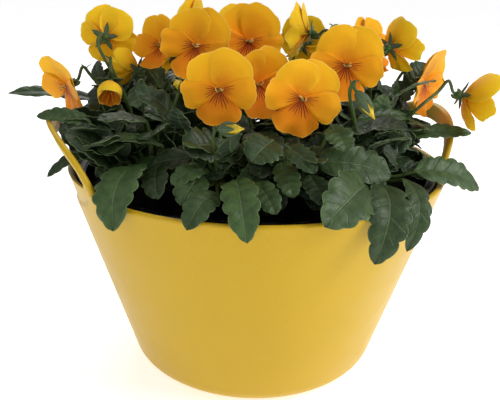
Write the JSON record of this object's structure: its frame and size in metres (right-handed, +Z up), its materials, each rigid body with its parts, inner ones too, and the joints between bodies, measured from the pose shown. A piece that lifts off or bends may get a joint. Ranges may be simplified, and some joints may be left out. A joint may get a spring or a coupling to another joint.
{
  "type": "potted viola planter",
  "caption": "Tapered bowl planter with two raised hand-slot ears, planted with flowering violas in a grow pot of soil.",
  "frame": {"origin": "centre of the planter's flat underside", "axes": "+Z up; the two ears with hand slots lie along +X and -X; the best side of the planting faces -Y"},
  "size_m": [0.2924, 0.2417, 0.2292],
  "materials": {
    "planter_plastic": "satin moulded plastic, golden yellow",
    "pot_plastic": "glossy thin black plastic",
    "soil": "damp dark peat with fibres",
    "root_ball": "rooted peat, with a green-brown crown",
    "foliage": "dark green leaf, softly glossy above",
    "petals": "velvety golden-orange petal with maroon lines at the throat",
    "buds": "rolled yellow petals in green sepals"
  },
  "bodies": {
    "root": {"planter": "planter_plastic", "grow_pot": "pot_plastic", "potting_soil": "soil", "viola_1_crown": "root_ball", "viola_1_shoot_a": "foliage", "viola_1_shoot_b": "foliage", "viola_1_shoot_c": "foliage", "viola_2_crown": "root_ball", "viola_2_shoot_a": "foliage", "viola_2_shoot_b": "foliage", "viola_2_shoot_c": "foliage", "viola_3_crown": "root_ball", "viola_3_shoot_a": "foliage", "viola_3_shoot_b": "foliage", "viola_3_shoot_c": "foliage", "viola_4_crown": "root_ball", "viola_4_shoot_a": "foliage", "viola_4_shoot_b": "foliage", "viola_4_shoot_c": "foliage", "viola_5_crown": "root_ball", "viola_5_shoot_a": "foliage", "viola_5_shoot_b": "foliage", "viola_5_shoot_c": "foliage", "bloom_01": "petals", "bloom_02": "petals", "bloom_03": "petals", "bloom_04": "petals", "bloom_05": "petals", "bloom_06": "petals", "bloom_07": "petals", "bloom_08": "petals", "bloom_09": "petals", "bloom_10": "petals", "bloom_11": "petals", "bloom_12": "petals", "bloom_13": "petals", "bloom_14": "petals", "bloom_15": "petals", "bloom_16": "petals", "bloom_17": "petals", "bloom_18": "petals", "bloom_19": "petals", "bloom_20": "petals", "bloom_21": "petals", "bloom_22": "petals", "bud_1": "buds", "bud_2": "buds", "bud_3": "buds", "bud_4": "buds", "bud_5": "buds"}
  },
  "joints": []
}
